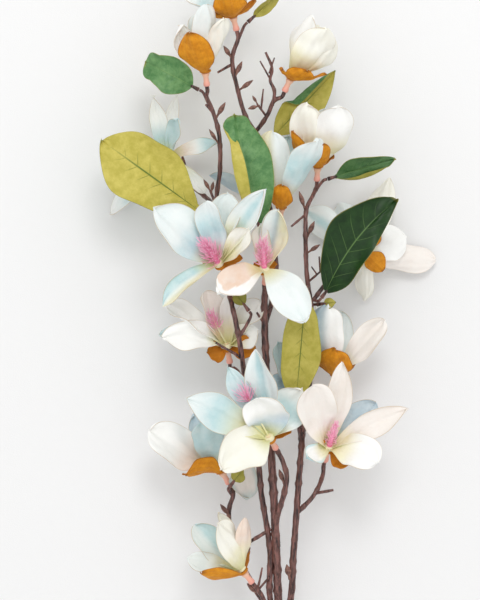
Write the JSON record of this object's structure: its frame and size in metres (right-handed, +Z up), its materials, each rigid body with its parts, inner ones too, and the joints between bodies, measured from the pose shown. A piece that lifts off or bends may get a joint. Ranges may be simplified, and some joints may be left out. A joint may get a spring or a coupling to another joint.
{
  "type": "magnolia branch",
  "caption": "Forked woody stem of an artificial magnolia, lying flat, with open blooms, half-open blooms, leaves and buds on its twigs.",
  "frame": {"origin": "on the table, under the middle of the spray's box in X and Y", "axes": "+Y from the cut end of the stem to the top of the spray, +Z up from the table, +X to the right as the blooms face up"},
  "size_m": [0.3046, 0.695, 0.1301],
  "materials": {
    "wood": "matt mauve-brown bark, with knots",
    "core": "satin salmon pink, hot pink at the stamens",
    "calyx": "matt amber cloth with a darker edge",
    "petals": "matt ivory cloth with pale mint shading and a yellow foot",
    "leaf_green": "satin dark green cloth with lighter veins",
    "leaf_olive": "matt olive cloth, the pale underside of the leaf"
  },
  "bodies": {
    "root": {"branch_wood": "wood", "bloom_01_core": "core", "bloom_01_calyx": "calyx", "bloom_01_petals": "petals", "bloom_02_core": "core", "bloom_02_calyx": "calyx", "bloom_02_petals": "petals", "bloom_03_core": "core", "bloom_03_calyx": "calyx", "bloom_03_petals": "petals", "bloom_04_core": "core", "bloom_04_calyx": "calyx", "bloom_04_petals": "petals", "bloom_05_core": "core", "bloom_05_calyx": "calyx", "bloom_05_petals": "petals", "bloom_06_core": "core", "bloom_06_calyx": "calyx", "bloom_06_petals": "petals", "bloom_07_core": "core", "bloom_07_calyx": "calyx", "bloom_07_petals": "petals", "bloom_08_core": "core", "bloom_08_calyx": "calyx", "bloom_08_petals": "petals", "bloom_09_core": "core", "bloom_09_calyx": "calyx", "bloom_09_petals": "petals", "bloom_10_core": "core", "bloom_10_calyx": "calyx", "bloom_10_petals": "petals", "bloom_11_core": "core", "bloom_11_calyx": "calyx", "bloom_11_petals": "petals", "bloom_12_core": "core", "bloom_12_calyx": "calyx", "bloom_12_petals": "petals", "bloom_13_core": "core", "bloom_13_calyx": "calyx", "bloom_13_petals": "petals", "bloom_14_core": "core", "bloom_14_calyx": "calyx", "bloom_14_petals": "petals", "bloom_15_core": "core", "bloom_15_calyx": "calyx", "bloom_15_petals": "petals", "bloom_16_core": "core", "bloom_16_calyx": "calyx", "bloom_16_petals": "petals", "leaf_01": "leaf_green", "leaf_02": "leaf_olive", "leaf_03": "leaf_olive", "leaf_04": "leaf_olive", "leaf_05": "leaf_green", "leaf_06": "leaf_green", "leaf_07": "leaf_green", "leaf_08": "leaf_olive", "leaf_09": "leaf_olive", "leaf_10": "leaf_olive", "leaf_11": "leaf_olive"}
  },
  "joints": []
}
